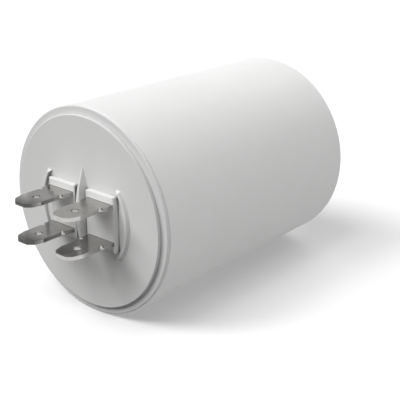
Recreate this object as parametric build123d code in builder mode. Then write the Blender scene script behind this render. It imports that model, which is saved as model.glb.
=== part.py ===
from build123d import *
import os

os.makedirs("parts", exist_ok=True)

# A capacitor in a round plastic can, in millimetres. The can stands on its closed base.
# The origin is the centre of the base and +Z runs along the can towards the terminals.
# The two terminals stand side by side along X, and the faces of their blades look along Y.

# Can
can_diameter = 45.0
can_height = 61.5
can_wall = 1.6
base_thickness = 2.0
base_edge_radius = 0.8
inner_corner_radius = 1.0
seam_chamfer = 0.25

# Lid
flange_overhang = 0.08
flange_thickness = 0.65
flange_edge_radius = 0.35
face_diameter = 41.6
face_step = 0.85
face_edge_radius = 0.15
plate_thickness = 3.0
skirt_wall = 1.5
skirt_depth = 4.5
plug_clearance = 0.1

# Pads that the blades stand on
pad_width = 8.4
pad_length = 12.15
pad_height = 1.1
pad_corner_radius = 0.6
pad_end_edge_radius = 0.35
pad_outer_edge_radius = 0.85
pad_inner_edge_radius = 0.15

# Fin between the pads
fin_length = 20.8
fin_width = 3.2
fin_height = 2.1
fin_draft = 28.0
fin_shoulder_height = 1.4
fin_shoulder_span = 12.8

# Curved ribs outside the pads
rib_radius = 12.45
rib_top_width = 0.45
rib_height = 0.65
rib_inner_run = 0.1
rib_outer_run = 0.5
rib_span = 14.9
rib_end_run = 0.5
rib_edge_radius = 0.15

# Terminals: a folded strip with two blades each
terminal_spacing = 11.7
blade_spacing = 8.1
blade_thickness = 0.8
blade_width = 6.3
blade_length = 8.0
shoulder_rise = 2.9
shoulder_width = 6.8
root_width = 7.3
notch_radius = 0.5
tip_width = 2.8
tip_mid_width = 5.1
tip_mid_setback = 0.95
tip_taper_length = 2.9
tip_corner_radius = 1.2
blade_hole_diameter = 1.7
blade_hole_setback = 4.3
bend_radius = 0.6
slot_clearance = 0.05

# Winding
potting_gap = 1.9
wrap_thickness = 0.4
wrap_overhang = 0.4
winding_standoff = 4.5
winding_head_room = 10.0
spray_thickness = 0.5
core_tube_diameter = 8.0
core_tube_wall = 1.2
core_tube_overhang = 0.4

# Leads
conductor_diameter = 0.9
sleeve_diameter = 2.0
lead_bend_radius = 1.2
joint_radius = 1.6
joint_height = 1.2
joint_offset = 9.0
lead_turn_depth = 2.5
lead_drop = 2.8
lead_slant = 2.2

# Resin
resin_head_room = 6.0
seal_thickness = 2.6

# Levels and radii that follow from the sizes above
can_radius = can_diameter / 2
cavity_radius = can_radius - can_wall
flange_top = can_height + flange_thickness
face_level = flange_top + face_step
pad_level = face_level + pad_height
plate_bottom = face_level - plate_thickness
skirt_bottom = can_height - skirt_depth
plug_radius = cavity_radius - plug_clearance
skirt_bore_radius = plug_radius - skirt_wall
web_bottom = plate_bottom - blade_thickness
shoulder_level = pad_level + shoulder_rise
tip_level = shoulder_level + blade_length
wrap_radius = cavity_radius - potting_gap
winding_radius = wrap_radius - wrap_thickness
winding_bottom = base_thickness + winding_standoff
winding_top = can_height - winding_head_room
core_radius = core_tube_diameter / 2
lead_turn_level = winding_bottom - lead_turn_depth
terminal_x = terminal_spacing / 2
sides = {"left": -1, "right": 1}


# Can: a cup with rounded base edges and a chamfered rim
with BuildPart() as can:
    with BuildSketch():
        Circle(can_radius)
    extrude(amount=can_height)
    fillet(can.edges().group_by(Axis.Z)[0], base_edge_radius)
    chamfer(can.edges().group_by(Axis.Z)[-1], seam_chamfer)
    with BuildSketch(Plane.XY.offset(base_thickness)):
        Circle(cavity_radius)
    extrude(amount=can_height - base_thickness, mode=Mode.SUBTRACT)
    fillet(can.edges(Select.LAST).group_by(Axis.Z)[0], inner_corner_radius)
can.part.label = "can"
export_step(can.part, "parts/can.step")

# Fin: a lens in plan, with sloping flanks, cut to an arch along its length
with BuildPart() as fin_shape:
    with BuildSketch(Plane.XY.offset(face_level)):
        with BuildLine():
            ThreePointArc((0, -fin_length / 2), (fin_width / 2, 0), (0, fin_length / 2))
            ThreePointArc((0, fin_length / 2), (-fin_width / 2, 0), (0, -fin_length / 2))
        make_face()
    extrude(amount=fin_height, taper=fin_draft)
    with BuildSketch(Plane.YZ):
        with BuildLine():
            ThreePointArc(
                (-fin_shoulder_span / 2, face_level + fin_shoulder_height),
                (0, face_level + fin_height),
                (fin_shoulder_span / 2, face_level + fin_shoulder_height),
            )
            Polyline(
                (fin_shoulder_span / 2, face_level + fin_shoulder_height),
                (fin_length / 2, face_level),
                (-fin_length / 2, face_level),
                (-fin_shoulder_span / 2, face_level + fin_shoulder_height),
            )
        make_face()
    extrude(amount=fin_width / 2, both=True, mode=Mode.INTERSECT)

# Pad: a flat block whose top edges are rounded, the outer one the most
with BuildPart() as pad_shape:
    with BuildSketch(Plane.XY.offset(face_level)):
        with Locations((terminal_x, 0)):
            RectangleRounded(pad_width, pad_length, pad_corner_radius)
    extrude(amount=pad_height)
    with BuildSketch(Plane.YZ) as end_section:
        with Locations((0, pad_level)):
            Rectangle(pad_length, 2 * pad_height, align=(Align.CENTER, Align.MAX))
        fillet(end_section.vertices().group_by(Axis.Y)[-1], pad_end_edge_radius)
    extrude(amount=can_radius, mode=Mode.INTERSECT)
    with BuildSketch(Plane.XZ) as side_section:
        with Locations((terminal_x, pad_level)):
            Rectangle(pad_width, 2 * pad_height, align=(Align.CENTER, Align.MAX))
        fillet(side_section.vertices().group_by(Axis.Y)[-1].sort_by(Axis.X)[-1], pad_outer_edge_radius)
        fillet(side_section.vertices().group_by(Axis.Y)[-1].sort_by(Axis.X)[0], pad_inner_edge_radius)
    extrude(amount=pad_length, both=True, mode=Mode.INTERSECT)

# Ribs: two arcs of one turned ring, steep inside and sloping outside
with BuildPart() as rib_shape:
    with BuildSketch(Plane.XZ):
        with BuildLine():
            Polyline(
                (rib_radius - rib_top_width / 2 - rib_inner_run, face_level),
                (rib_radius - rib_top_width / 2, face_level + rib_height),
                (rib_radius + rib_top_width / 2, face_level + rib_height),
                (rib_radius + rib_top_width / 2 + rib_outer_run, face_level),
                close=True,
            )
        make_face()
    revolve(axis=Axis.Z)
    with BuildSketch(Plane.YZ):
        with BuildLine():
            Polyline(
                (-rib_span / 2, face_level),
                (-rib_span / 2 + rib_end_run, face_level + rib_height),
                (rib_span / 2 - rib_end_run, face_level + rib_height),
                (rib_span / 2, face_level),
                close=True,
            )
        make_face()
    extrude(amount=can_radius, both=True, mode=Mode.INTERSECT)
    fillet(rib_shape.edges().group_by(Axis.Z)[-1].filter_by(GeomType.CIRCLE), rib_edge_radius)

# Lid: flange, raised face, plug and skirt, with the pads, fin, ribs and blade slots
with BuildPart() as lid:
    with BuildSketch(Plane.XY.offset(can_height)):
        Circle(can_radius + flange_overhang)
    extrude(amount=flange_thickness)
    chamfer(lid.edges().group_by(Axis.Z)[0], seam_chamfer)
    fillet(lid.edges().group_by(Axis.Z)[-1], flange_edge_radius)
    with BuildSketch(Plane.XY.offset(flange_top)):
        Circle(face_diameter / 2)
    extrude(amount=face_step)
    fillet(lid.edges().group_by(Axis.Z)[-1], face_edge_radius)
    with BuildSketch(Plane.XY.offset(skirt_bottom)):
        Circle(plug_radius)
    extrude(amount=can_height - skirt_bottom)
    with BuildSketch(Plane.XY.offset(skirt_bottom)):
        Circle(skirt_bore_radius)
    extrude(amount=plate_bottom - skirt_bottom, mode=Mode.SUBTRACT)
    add(pad_shape.part)
    mirror(pad_shape.part, about=Plane.YZ)
    add(fin_shape.part)
    add(rib_shape.part)
    slot_height = pad_level + slot_clearance - web_bottom
    for side in sides.values():
        with BuildSketch(Plane.YZ.offset(side * terminal_x)):
            with Locations((0, web_bottom)):
                Rectangle(
                    blade_spacing + blade_thickness + 2 * slot_clearance,
                    slot_height,
                    align=(Align.CENTER, Align.MIN),
                )
            with Locations((0, plate_bottom + slot_height)):
                RectangleRounded(
                    blade_spacing - blade_thickness - 2 * slot_clearance,
                    2 * slot_height,
                    bend_radius + 2 * slot_clearance,
                    mode=Mode.SUBTRACT,
                )
        extrude(amount=root_width / 2 + slot_clearance, both=True, mode=Mode.SUBTRACT)
lid.part.label = "lid"
export_step(lid.part, "parts/lid.step")

# Terminals: a strip folded to a U, whose web lies under the lid's plate
terminals = {}
strip_height = tip_level - web_bottom + bend_radius + blade_thickness
for name, side in sides.items():
    with BuildPart() as terminal:
        with BuildSketch(Plane.YZ.offset(side * terminal_x)):
            with Locations((0, web_bottom + strip_height / 2)):
                RectangleRounded(
                    blade_spacing + blade_thickness, strip_height, bend_radius + blade_thickness
                )
            with Locations((0, plate_bottom + strip_height / 2)):
                RectangleRounded(
                    blade_spacing - blade_thickness, strip_height, bend_radius, mode=Mode.SUBTRACT
                )
        extrude(amount=root_width / 2, both=True)
        with BuildSketch(Plane.XZ.move(Location((side * terminal_x, 0, 0)))) as outline:
            with BuildLine():
                Polyline(
                    (0, web_bottom),
                    (root_width / 2, web_bottom),
                    (root_width / 2, pad_level),
                    (shoulder_width / 2, shoulder_level),
                    (blade_width / 2, shoulder_level),
                    (blade_width / 2, tip_level - tip_taper_length),
                    (tip_mid_width / 2, tip_level - tip_mid_setback),
                    (tip_width / 2, tip_level),
                    (0, tip_level),
                )
                mirror(about=Plane.YZ)
            make_face()
            tip_corners = outline.vertices().filter_by(
                lambda vertex: abs(vertex.Y - (tip_level - tip_mid_setback)) < tip_mid_setback / 2
            )
            fillet(tip_corners, tip_corner_radius)
            with Locations((-blade_width / 2, shoulder_level), (blade_width / 2, shoulder_level)):
                Circle(notch_radius, mode=Mode.SUBTRACT)
            with Locations((0, tip_level - blade_hole_setback)):
                Circle(blade_hole_diameter / 2, mode=Mode.SUBTRACT)
        extrude(amount=blade_spacing, both=True, mode=Mode.INTERSECT)
    terminals[name] = terminal
    terminal.part.label = "terminal_" + name
    export_step(terminal.part, "parts/terminal_" + name + ".step")

# Winding: the turns of metallised film, as one ring about its tube
with BuildPart() as winding:
    with BuildSketch(Plane.XY.offset(winding_bottom + spray_thickness)):
        Circle(winding_radius)
        Circle(core_radius, mode=Mode.SUBTRACT)
    extrude(amount=winding_top - winding_bottom - 2 * spray_thickness)
winding.part.label = "winding"
export_step(winding.part, "parts/winding.step")

# End sprays: thin metal layers that join the film's edges at each end of the winding
with BuildPart() as end_spray_lower:
    with BuildSketch(Plane.XY.offset(winding_bottom)):
        Circle(winding_radius)
        Circle(core_radius, mode=Mode.SUBTRACT)
    extrude(amount=spray_thickness)
end_spray_lower.part.label = "end_spray_lower"
export_step(end_spray_lower.part, "parts/end_spray_lower.step")

with BuildPart() as end_spray_upper:
    with BuildSketch(Plane.XY.offset(winding_top - spray_thickness)):
        Circle(winding_radius)
        Circle(core_radius, mode=Mode.SUBTRACT)
    extrude(amount=spray_thickness)
end_spray_upper.part.label = "end_spray_upper"
export_step(end_spray_upper.part, "parts/end_spray_upper.step")

# Winding wrap: plain film around the winding, a little longer than it
with BuildPart() as winding_wrap:
    with BuildSketch(Plane.XY.offset(winding_bottom - wrap_overhang)):
        Circle(wrap_radius)
        Circle(winding_radius, mode=Mode.SUBTRACT)
    extrude(amount=winding_top - winding_bottom + 2 * wrap_overhang)
winding_wrap.part.label = "winding_wrap"
export_step(winding_wrap.part, "parts/winding_wrap.step")

# Core tube: the tube that the film is wound on
with BuildPart() as core_tube:
    with BuildSketch(Plane.XY.offset(winding_bottom - core_tube_overhang)):
        Circle(core_radius)
        Circle(core_radius - core_tube_wall, mode=Mode.SUBTRACT)
    extrude(amount=winding_top - winding_bottom + 2 * core_tube_overhang)
core_tube.part.label = "core_tube"
export_step(core_tube.part, "parts/core_tube.step")

# Solder joints: cones under the terminals' webs and on the end sprays
joint_places = {
    "solder_terminal_left": (-terminal_x, web_bottom, -1),
    "solder_terminal_right": (terminal_x, web_bottom, -1),
    "solder_spray_upper": (-joint_offset, winding_top, 1),
    "solder_spray_lower": (joint_offset, winding_bottom, -1),
}

# Leads: one goes up from the upper spray, the other runs up through the core tube
lead_slant_level = web_bottom - lead_drop
lead_routes = {
    "left": [
        (-joint_offset, winding_top),
        (-joint_offset, lead_slant_level - lead_slant),
        (-terminal_x, lead_slant_level),
        (-terminal_x, web_bottom),
    ],
    "right": [
        (joint_offset, winding_bottom),
        (joint_offset, lead_turn_level),
        (0, lead_turn_level),
        (0, lead_slant_level - lead_slant),
        (terminal_x, lead_slant_level),
        (terminal_x, web_bottom),
    ],
}
conductors = {}
sleeves = {}
for name, route in lead_routes.items():
    with BuildPart() as conductor:
        with BuildLine(Plane.XZ) as conductor_path:
            FilletPolyline(*route, radius=lead_bend_radius)
        with BuildSketch(Plane(origin=conductor_path.line @ 0, z_dir=conductor_path.line % 0)):
            Circle(conductor_diameter / 2)
        sweep()
    conductors[name] = conductor
    conductor.part.label = "lead_conductor_" + name
    export_step(conductor.part, "parts/lead_conductor_" + name + ".step")

    spray_end_x, spray_end_z = route[0]
    spray_end_sign = 1 if route[1][1] > spray_end_z else -1
    sleeve_route = [(spray_end_x, spray_end_z + spray_end_sign * joint_height)]
    sleeve_route += route[1:-1]
    sleeve_route += [(route[-1][0], web_bottom - joint_height)]
    with BuildPart() as sleeve:
        with BuildLine(Plane.XZ) as sleeve_path:
            FilletPolyline(*sleeve_route, radius=lead_bend_radius)
        with BuildSketch(Plane(origin=sleeve_path.line @ 0, z_dir=sleeve_path.line % 0)):
            Circle(sleeve_diameter / 2)
        sweep()
        add(conductor.part, mode=Mode.SUBTRACT)
    sleeves[name] = sleeve
    sleeve.part.label = "lead_sleeve_" + name
    export_step(sleeve.part, "parts/lead_sleeve_" + name + ".step")

joints = {}
for name, (x, level, direction) in joint_places.items():
    with BuildPart() as joint:
        with BuildSketch(Plane(origin=(x, 0, level), z_dir=(0, 0, direction))):
            Circle(joint_radius)
        with BuildSketch(Plane(origin=(x, 0, level + direction * joint_height), z_dir=(0, 0, direction))):
            Circle(sleeve_diameter / 2)
        loft()
        for conductor in conductors.values():
            add(conductor.part, mode=Mode.SUBTRACT)
    joints[name] = joint
    joint.part.label = name
    export_step(joint.part, "parts/" + name + ".step")

# Lid seal: resin that fills the lid's cup around the webs and the joints
with BuildPart() as lid_seal:
    with BuildSketch(Plane.XY.offset(plate_bottom - seal_thickness)):
        Circle(skirt_bore_radius)
    extrude(amount=seal_thickness)
    for piece in [*terminals.values(), *joints.values(), *sleeves.values(), *conductors.values()]:
        add(piece.part, mode=Mode.SUBTRACT)
lid_seal.part.label = "lid_seal"
export_step(lid_seal.part, "parts/lid_seal.step")

# Resin fill: fills the can around the winding, up to just below the lid's skirt
with BuildPart() as resin_fill:
    with BuildSketch(Plane.XY.offset(base_thickness)):
        Circle(cavity_radius)
    extrude(amount=can_height - resin_head_room - base_thickness)
    fillet(resin_fill.edges().group_by(Axis.Z)[0], inner_corner_radius)
    for piece in [winding, winding_wrap, core_tube, end_spray_lower, end_spray_upper]:
        add(piece.part, mode=Mode.SUBTRACT)
    for piece in [*joints.values(), *sleeves.values(), *conductors.values()]:
        add(piece.part, mode=Mode.SUBTRACT)
resin_fill.part.label = "resin_fill"
export_step(resin_fill.part, "parts/resin_fill.step")
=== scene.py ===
import math

import bpy
from mathutils import Matrix, Vector


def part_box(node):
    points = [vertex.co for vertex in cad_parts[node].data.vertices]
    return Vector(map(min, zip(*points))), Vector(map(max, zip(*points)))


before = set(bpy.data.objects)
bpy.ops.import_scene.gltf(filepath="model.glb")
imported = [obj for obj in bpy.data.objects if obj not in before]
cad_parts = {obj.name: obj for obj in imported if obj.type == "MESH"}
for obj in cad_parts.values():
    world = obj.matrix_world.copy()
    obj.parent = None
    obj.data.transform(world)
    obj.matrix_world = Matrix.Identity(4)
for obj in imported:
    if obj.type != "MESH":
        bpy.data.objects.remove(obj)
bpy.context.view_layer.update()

# Sizes are written in millimetres, and Blender works in metres
MM = 0.001

# The photograph shows the can lying on its side, so its floor is upright in the part's frame
FLOOR_NORMAL = Vector((0, -1, 0))
FLOOR_SIZE = 4000 * MM

# The camera, fitted to the can's outline and the blades
CAMERA_PLACE = Vector((-129.9, -68.3, 177.4)) * MM
CAMERA_TARGET = Vector((-13.06, 0, 41.63)) * MM
SENSOR_WIDTH = 36
LENS = 80.15
CLIP_START = 1 * MM

# Lamps: each is a soft sun, given by the way towards it, its strength and its width in degrees
LAMPS = {
    "key": {"towards": (0.50, -0.66, 0.56), "strength": 1.8, "spread": 36},
    "upper": {"towards": (0.15, -0.83, 0.53), "strength": 1.1, "spread": 40},
    "front": {"towards": (-0.24, -0.80, 0.52), "strength": 0.5, "spread": 36},
    "rear_top": {"towards": (-0.05, -0.80, -0.60), "strength": 0.9, "spread": 65},
    "rear_left": {"towards": (0.20, -0.40, -0.90), "strength": 0.35, "spread": 65},
    "rear_low": {"towards": (-0.30, 0.20, -0.93), "strength": 0.6, "spread": 65},
    "right": {"towards": (-0.95, 0.05, -0.30), "strength": 0.7, "spread": 65},
    "low": {"towards": (-0.60, 0.60, 0.52), "strength": 0.26, "spread": 65},
    "below_left": {"towards": (0.65, 0.65, -0.40), "strength": 0.25, "spread": 65},
    "below_right": {"towards": (-0.60, 0.50, -0.60), "strength": 0.54, "spread": 65},
}

# The world's strength as light, and as the background
WORLD_FILL = 0.03
WORLD_WHITE = 1.0

# The floor's tone, and what it adds so that it is white away from the shadow
FLOOR_WHITE = 0.95
FLOOR_LIFT = 0.09

# The part of a noise's range that the finishes spread over their own ranges
NOISE_LOW = 0.3
NOISE_HIGH = 0.7

# The can and the lid. Noise sizes are in millimetres
PLASTICS = {
    "can": {"name": "can_plastic", "color": (0.76, 0.76, 0.755), "grain_size": 0.35},
    "lid": {"name": "lid_plastic", "color": (0.76, 0.76, 0.755), "grain_size": 0.25},
}
MOTTLE_SIZE = 14.0
MOTTLE_DETAIL = 3.0
MOTTLE_TONES = (0.98, 1.01)
SHEEN_SIZE = 5.0
PLASTIC_ROUGHNESS = (0.46, 0.56)
PLASTIC_SPECULAR = 0.3
GRAIN_STRENGTH = 0.25
GRAIN_DEPTH = 0.02 * MM

# Painted shade in the plastic's hollows, darkening its colour where the surface is closed in: its
# reach, its tone, and the openness where it is full and where it ends
PAINTED_SHADE_REACH = 2.2 * MM
PAINTED_SHADE_TONE = 0.12
PAINTED_SHADE_FULL_AT = 0.25
PAINTED_SHADE_END_AT = 0.58

# The terminals, with a painted reflection at the tip: their tone goes to the tip's between two
# distances from the tip, lighter on the left terminal and darker on the right, though both are of
# one finish
TERMINALS = {
    "terminal_left": {"name": "tinned_strip_left_painted_tip", "tip_reflection_tone": 1.1},
    "terminal_right": {"name": "tinned_strip_right_painted_tip", "tip_reflection_tone": 0.2},
}
TIN_COLOR = (0.42, 0.412, 0.4)
PAINTED_TIP_START = 4.5 * MM
PAINTED_TIP_END = 0.8 * MM
STREAK_SIZE = 0.25
STREAK_DETAIL = 3.0
STREAK_STRETCH = (1, 1, 0.06)
STREAK_TONES = (0.94, 1.06)
STREAK_STRENGTH = 0.2
STREAK_DEPTH = 0.01 * MM
CLOUD_SIZE = 2.2
CLOUD_DETAIL = 4.0
CLOUD_TONES = (0.9, 1.1)
TIN_ROUGHNESS = (0.16, 0.26)

# The pieces inside the can
INSIDE = {
    "resin": {
        "look": {"color": (0.16, 0.15, 0.13), "metallic": 0.0, "roughness": 0.4, "size": 3.0},
        "pieces": ("lid_seal", "resin_fill"),
    },
    "sprayed_zinc": {
        "look": {"color": (0.42, 0.42, 0.43), "metallic": 0.8, "roughness": 0.6, "size": 0.3},
        "pieces": ("end_spray_upper", "end_spray_lower"),
    },
    "tinned_copper": {
        "look": {
            "color": (0.6, 0.5, 0.42),
            "metallic": 1.0,
            "roughness": 0.3,
            "size": 0.4,
            "stretch": (1, 1, 0.1),
        },
        "pieces": ("lead_conductor_left", "lead_conductor_right"),
    },
    "sleeve": {
        "look": {"color": (0.05, 0.05, 0.05), "metallic": 0.0, "roughness": 0.5, "size": 0.8},
        "pieces": ("lead_sleeve_left", "lead_sleeve_right"),
    },
    "solder": {
        "look": {"color": (0.55, 0.55, 0.57), "metallic": 1.0, "roughness": 0.25, "size": 0.5},
        "pieces": (
            "solder_spray_upper",
            "solder_spray_lower",
            "solder_terminal_left",
            "solder_terminal_right",
        ),
    },
    "metallised_film": {
        "look": {
            "color": (0.5, 0.5, 0.52),
            "metallic": 0.7,
            "roughness": 0.3,
            "size": 1.5,
            "stretch": (1, 1, 0.02),
        },
        "pieces": ("winding",),
    },
    "plain_film": {
        "look": {
            "color": (0.55, 0.52, 0.42),
            "metallic": 0.0,
            "roughness": 0.3,
            "size": 2.0,
            "stretch": (1, 1, 0.1),
        },
        "pieces": ("winding_wrap",),
    },
    "tube": {
        "look": {"color": (0.6, 0.6, 0.56), "metallic": 0.0, "roughness": 0.5, "size": 1.5},
        "pieces": ("core_tube",),
    },
}
INSIDE_DETAIL = 3.0
INSIDE_TONES = (0.88, 1.08)
INSIDE_ROUGHNESS_SPREAD = 0.06
INSIDE_BUMP_STRENGTH = 0.3
INSIDE_BUMP_DEPTH = 0.03 * MM


def make_camera():
    data = bpy.data.cameras.new("camera")
    data.sensor_width = SENSOR_WIDTH
    data.lens = LENS
    data.clip_start = CLIP_START
    camera = bpy.data.objects.new("camera", data)
    forward = (CAMERA_TARGET - CAMERA_PLACE).normalized()
    right = forward.cross(FLOOR_NORMAL).normalized()
    up = right.cross(forward)
    turn = Matrix((right, up, -forward)).transposed().to_4x4()
    camera.matrix_world = Matrix.Translation(CAMERA_PLACE) @ turn
    bpy.context.scene.collection.objects.link(camera)
    bpy.context.scene.camera = camera


def make_lamps():
    for name, lamp in LAMPS.items():
        data = bpy.data.lights.new(name, "SUN")
        data.energy = lamp["strength"]
        data.angle = math.radians(lamp["spread"])
        sun = bpy.data.objects.new(name, data)
        sun.rotation_mode = "QUATERNION"
        sun.rotation_quaternion = Vector(lamp["towards"]).to_track_quat("Z", "Y")
        bpy.context.scene.collection.objects.link(sun)


class Nodes:
    """A short way to write a node tree."""

    def __init__(self, tree):
        self.tree = tree
        self.tree.nodes.clear()

    def add(self, kind, settings=None, **inputs):
        """Adds a node. Settings are its attributes, and inputs are values or nodes' outputs."""
        node = self.tree.nodes.new(kind)
        for key, value in (settings or {}).items():
            setattr(node, key, value)
        for key, value in inputs.items():
            self.put(node.inputs[key.replace("_", " ")], value)
        return node

    def put(self, socket, value):
        if isinstance(value, bpy.types.NodeSocket):
            self.tree.links.new(value, socket)
        else:
            socket.default_value = value

    def math(self, operation, first, second=0.0):
        node = self.add("ShaderNodeMath", {"operation": operation})
        self.put(node.inputs[0], first)
        self.put(node.inputs[1], second)
        return node.outputs[0]

    def place(self):
        return self.add("ShaderNodeTexCoord").outputs["Object"]

    def noise(self, place, size, detail=2.0, stretch=(1, 1, 1)):
        """Noise whose blobs are about size millimetres, and longer where stretch is below 1."""
        mapped = self.add("ShaderNodeMapping", Vector=place, Scale=stretch).outputs[0]
        scale = 1 / (size * MM)
        noise = self.add("ShaderNodeTexNoise", Vector=mapped, Scale=scale, Detail=detail)
        return noise.outputs["Fac"]

    def span(self, value, low, high, start=0.0, end=1.0):
        """Maps start..end of a value to low..high, and stops at both ends."""
        ends = {"From_Min": start, "From_Max": end, "To_Min": low, "To_Max": high}
        return self.add("ShaderNodeMapRange", Value=value, **ends).outputs[0]

    def spread(self, noise, low, high):
        """Maps a noise to low..high."""
        return self.span(noise, low, high, NOISE_LOW, NOISE_HIGH)

    def tint(self, color, factor):
        node = self.add("ShaderNodeVectorMath", {"operation": "SCALE"}, Scale=factor)
        node.inputs[0].default_value = color
        return node.outputs[0]

    def bump(self, height, strength, depth):
        node = self.add("ShaderNodeBump", Height=height, Strength=strength, Distance=depth)
        return node.outputs[0]

    def background_rays(self):
        """One for the rays that show the background: from the camera, or by gloss or glass."""
        rays = self.add("ShaderNodeLightPath").outputs
        seen = self.math("MAXIMUM", rays["Is Camera Ray"], rays["Is Glossy Ray"])
        return self.math("MAXIMUM", seen, rays["Is Transmission Ray"])

    def finish(self, **inputs):
        """Ends a material with one shader that has these inputs."""
        shader = self.add("ShaderNodeBsdfPrincipled", **inputs)
        self.add("ShaderNodeOutputMaterial", Surface=shader.outputs[0])


def new_material(name):
    material = bpy.data.materials.new(name)
    material.use_nodes = True
    return material, Nodes(material.node_tree)


def make_world():
    world = bpy.data.worlds.new("studio")
    world.use_nodes = True
    bpy.context.scene.world = world
    nodes = Nodes(world.node_tree)
    strength = nodes.span(nodes.background_rays(), WORLD_FILL, WORLD_WHITE)
    white = nodes.add("ShaderNodeBackground", Color=(1, 1, 1, 1), Strength=strength)
    nodes.add("ShaderNodeOutputWorld", Surface=white.outputs[0])


def floor_material():
    """White from the front for the rays that show the background, and clear for all other light."""
    material, nodes = new_material("floor_white")
    white = nodes.add("ShaderNodeBsdfDiffuse", Color=(FLOOR_WHITE, FLOOR_WHITE, FLOOR_WHITE, 1))
    glow = nodes.add("ShaderNodeEmission", Strength=FLOOR_LIFT)
    sheet = nodes.add("ShaderNodeAddShader")
    nodes.put(sheet.inputs[0], white.outputs[0])
    nodes.put(sheet.inputs[1], glow.outputs[0])
    behind = nodes.add("ShaderNodeNewGeometry").outputs["Backfacing"]
    shown = nodes.math("SUBTRACT", nodes.background_rays(), behind)
    mix = nodes.add("ShaderNodeMixShader", Fac=nodes.math("MAXIMUM", shown, 0.0))
    nodes.put(mix.inputs[1], nodes.add("ShaderNodeBsdfTransparent").outputs[0])
    nodes.put(mix.inputs[2], sheet.outputs[0])
    nodes.add("ShaderNodeOutputMaterial", Surface=mix.outputs[0])
    return material


def make_floor():
    """The sheet that the can's lid touches and that shows the part's shadow."""
    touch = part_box("lid")[1].y
    half = FLOOR_SIZE / 2
    rim = [(-half, -half), (half, -half), (half, half), (-half, half)]
    corners = [(x, touch, z) for x, z in rim]
    mesh = bpy.data.meshes.new("floor")
    mesh.from_pydata(corners, [], [(0, 1, 2, 3)])
    floor = bpy.data.objects.new("floor", mesh)
    bpy.context.scene.collection.objects.link(floor)
    mesh.materials.append(floor_material())


def plastic(name, color, grain_size):
    """Moulded plastic: a faint mottle, painted shade darkening the hollows, the mould's texture and
    a satin sheen.
    """
    material, nodes = new_material(name)
    place = nodes.place()
    mottle = nodes.spread(nodes.noise(place, MOTTLE_SIZE, MOTTLE_DETAIL), *MOTTLE_TONES)
    # Painted shade: ambient occlusion darkens the base colour in hollows and recesses
    occlusion_probe = nodes.add(
        "ShaderNodeAmbientOcclusion", {"only_local": True}, Distance=PAINTED_SHADE_REACH
    )
    openness = occlusion_probe.outputs["AO"]
    painted_shade = nodes.span(openness, PAINTED_SHADE_TONE, 1.0, PAINTED_SHADE_FULL_AT, PAINTED_SHADE_END_AT)
    tone = nodes.math("MULTIPLY", mottle, painted_shade)
    grain = nodes.noise(place, grain_size)
    nodes.finish(
        Base_Color=nodes.tint(color, tone),
        Roughness=nodes.spread(nodes.noise(place, SHEEN_SIZE), *PLASTIC_ROUGHNESS),
        Specular_IOR_Level=PLASTIC_SPECULAR,
        Normal=nodes.bump(grain, GRAIN_STRENGTH, GRAIN_DEPTH),
    )
    return material


def tinned_strip(name, tip_reflection_tone):
    """Tinned sheet with streaks along the strip and a cloudy tone, and a painted reflection that
    scales the tone to the given tip tone at the tip.
    """
    material, nodes = new_material(name)
    place = nodes.place()
    height = nodes.add("ShaderNodeSeparateXYZ", Vector=place).outputs["Z"]
    streaks = nodes.noise(place, STREAK_SIZE, STREAK_DETAIL, STREAK_STRETCH)
    cloud = nodes.noise(place, CLOUD_SIZE, CLOUD_DETAIL)
    tone = nodes.math(
        "MULTIPLY", nodes.spread(streaks, *STREAK_TONES), nodes.spread(cloud, *CLOUD_TONES)
    )
    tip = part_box("terminal_left")[1].z
    # Painted reflection: the tip is made lighter or darker to stand in for what it reflects, not
    # for a real change of finish
    painted_tip = nodes.span(height, 1.0, tip_reflection_tone, tip - PAINTED_TIP_START, tip - PAINTED_TIP_END)
    nodes.finish(
        Base_Color=nodes.tint(TIN_COLOR, nodes.math("MULTIPLY", tone, painted_tip)),
        Metallic=1.0,
        Roughness=nodes.spread(cloud, *TIN_ROUGHNESS),
        Normal=nodes.bump(streaks, STREAK_STRENGTH, STREAK_DEPTH),
    )
    return material


def inside(name, color, metallic, roughness, size, stretch=(1, 1, 1)):
    """A piece inside the can, with its tone, roughness and relief varied by one noise."""
    material, nodes = new_material(name)
    cloud = nodes.noise(nodes.place(), size, INSIDE_DETAIL, stretch)
    least = roughness - INSIDE_ROUGHNESS_SPREAD
    most = roughness + INSIDE_ROUGHNESS_SPREAD
    nodes.finish(
        Base_Color=nodes.tint(color, nodes.spread(cloud, *INSIDE_TONES)),
        Metallic=metallic,
        Roughness=nodes.spread(cloud, least, most),
        Normal=nodes.bump(cloud, INSIDE_BUMP_STRENGTH, INSIDE_BUMP_DEPTH),
    )
    return material


def dress():
    looks = {}
    for name, finish in INSIDE.items():
        material = inside(name, **finish["look"])
        looks.update({piece: material for piece in finish["pieces"]})
    for piece, finish in PLASTICS.items():
        looks[piece] = plastic(**finish)
    for piece, finish in TERMINALS.items():
        looks[piece] = tinned_strip(**finish)
    for name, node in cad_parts.items():
        for slot in node.material_slots:
            slot.material = looks[name]


make_camera()
make_lamps()
make_world()
make_floor()
dress()
bpy.context.scene.view_settings.view_transform = "Standard"
